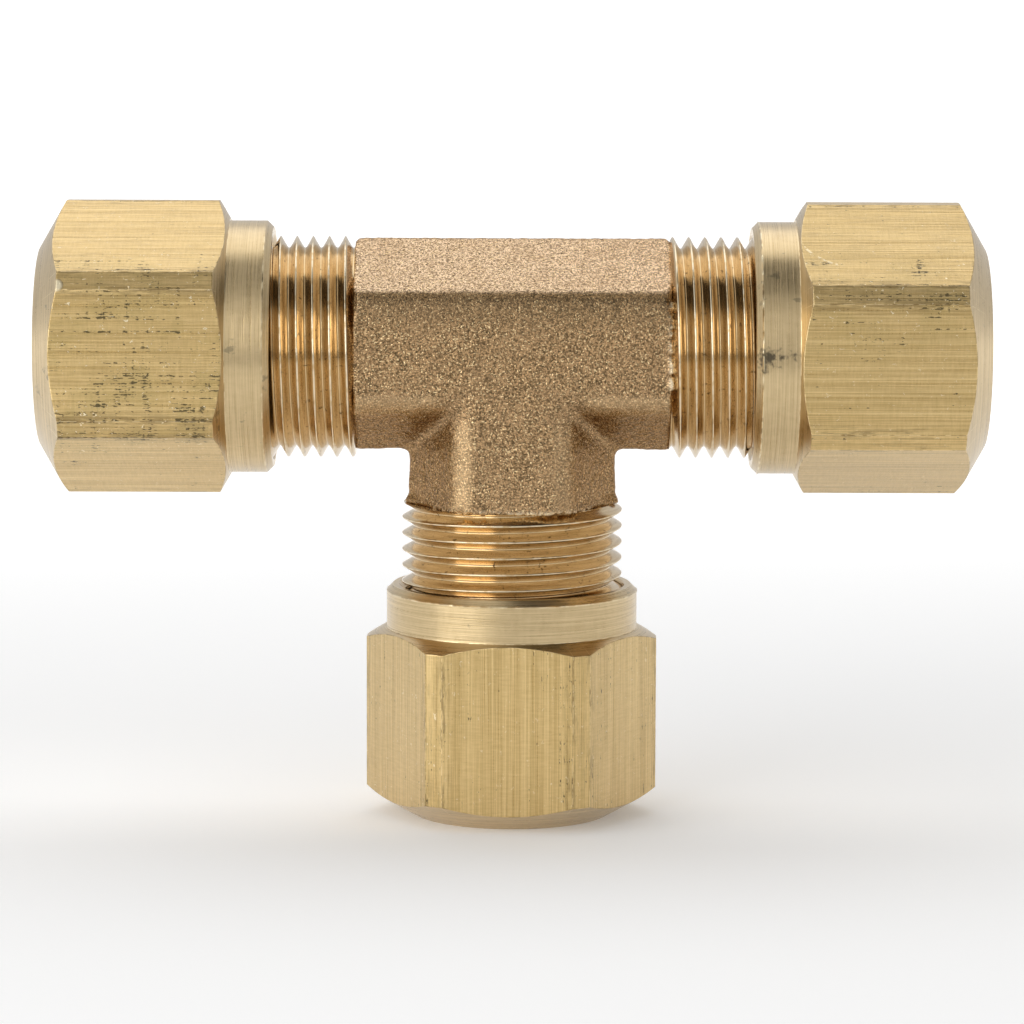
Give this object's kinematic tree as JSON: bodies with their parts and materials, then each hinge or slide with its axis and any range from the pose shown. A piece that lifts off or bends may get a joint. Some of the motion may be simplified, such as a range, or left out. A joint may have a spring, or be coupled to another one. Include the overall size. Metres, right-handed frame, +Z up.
{
  "type": "compression union tee",
  "caption": "Brass compression tee that joins tubes at right angles; nuts on its threaded ends press sleeves onto the tubes.",
  "frame": {"origin": "centre of the branch nut's end face, which the tee stands on; the axes of the run and the branch cross 37.1 mm above it", "axes": "+X along the run towards the right leg, +Y towards the back, +Z up, against the branch, which points down"},
  "size_m": [0.0742, 0.0212, 0.0486],
  "materials": {
    "forged_brass": "sandblasted forging with bright machined threads",
    "nut_brass": "drawn hexagon bar, turned collar and chamfers",
    "sleeve_brass": "turned",
    "support_brass": "drawn tube with a formed flange"
  },
  "bodies": {
    "tee": {"tee_body": "forged_brass", "left_tube_support": "support_brass", "right_tube_support": "support_brass", "branch_tube_support": "support_brass"},
    "left_sleeve": {"left_sleeve": "sleeve_brass"},
    "left_nut": {"left_nut": "nut_brass"},
    "right_sleeve": {"right_sleeve": "sleeve_brass"},
    "right_nut": {"right_nut": "nut_brass"},
    "branch_sleeve": {"branch_sleeve": "sleeve_brass"},
    "branch_nut": {"branch_nut": "nut_brass"}
  },
  "joints": [
    {"name": "left_slide", "type": "slide", "parent": "tee", "child": "left_sleeve", "axis": [-1, 0, 0], "range_m": [-0.00508, 0.00635]},
    {"name": "left_nut_turn", "type": "hinge", "parent": "left_sleeve", "child": "left_nut", "pos_m": [0, 0, 0.0371], "axis": [-1, 0, 0], "range_deg": [-1441, 1801]},
    {"name": "right_slide", "type": "slide", "parent": "tee", "child": "right_sleeve", "axis": [1, 0, 0], "range_m": [-0.00508, 0.00635]},
    {"name": "right_nut_turn", "type": "hinge", "parent": "right_sleeve", "child": "right_nut", "pos_m": [0, 0, 0.0371], "axis": [1, 0, 0], "range_deg": [-1441, 1801]},
    {"name": "branch_slide", "type": "slide", "parent": "tee", "child": "branch_sleeve", "axis": [0, 0, -1], "range_m": [-0.00508, 0.00635]},
    {"name": "branch_nut_turn", "type": "hinge", "parent": "branch_sleeve", "child": "branch_nut", "pos_m": [0, 0, 0.0371], "axis": [0, 0, -1], "range_deg": [-1441, 1801]}
  ],
  "couplings": [
    {"joint": "left_nut_turn", "follows": "left_slide", "rad_per_m": 4947.4},
    {"joint": "right_nut_turn", "follows": "right_slide", "rad_per_m": 4947.4},
    {"joint": "branch_nut_turn", "follows": "branch_slide", "rad_per_m": 4947.4}
  ]
}
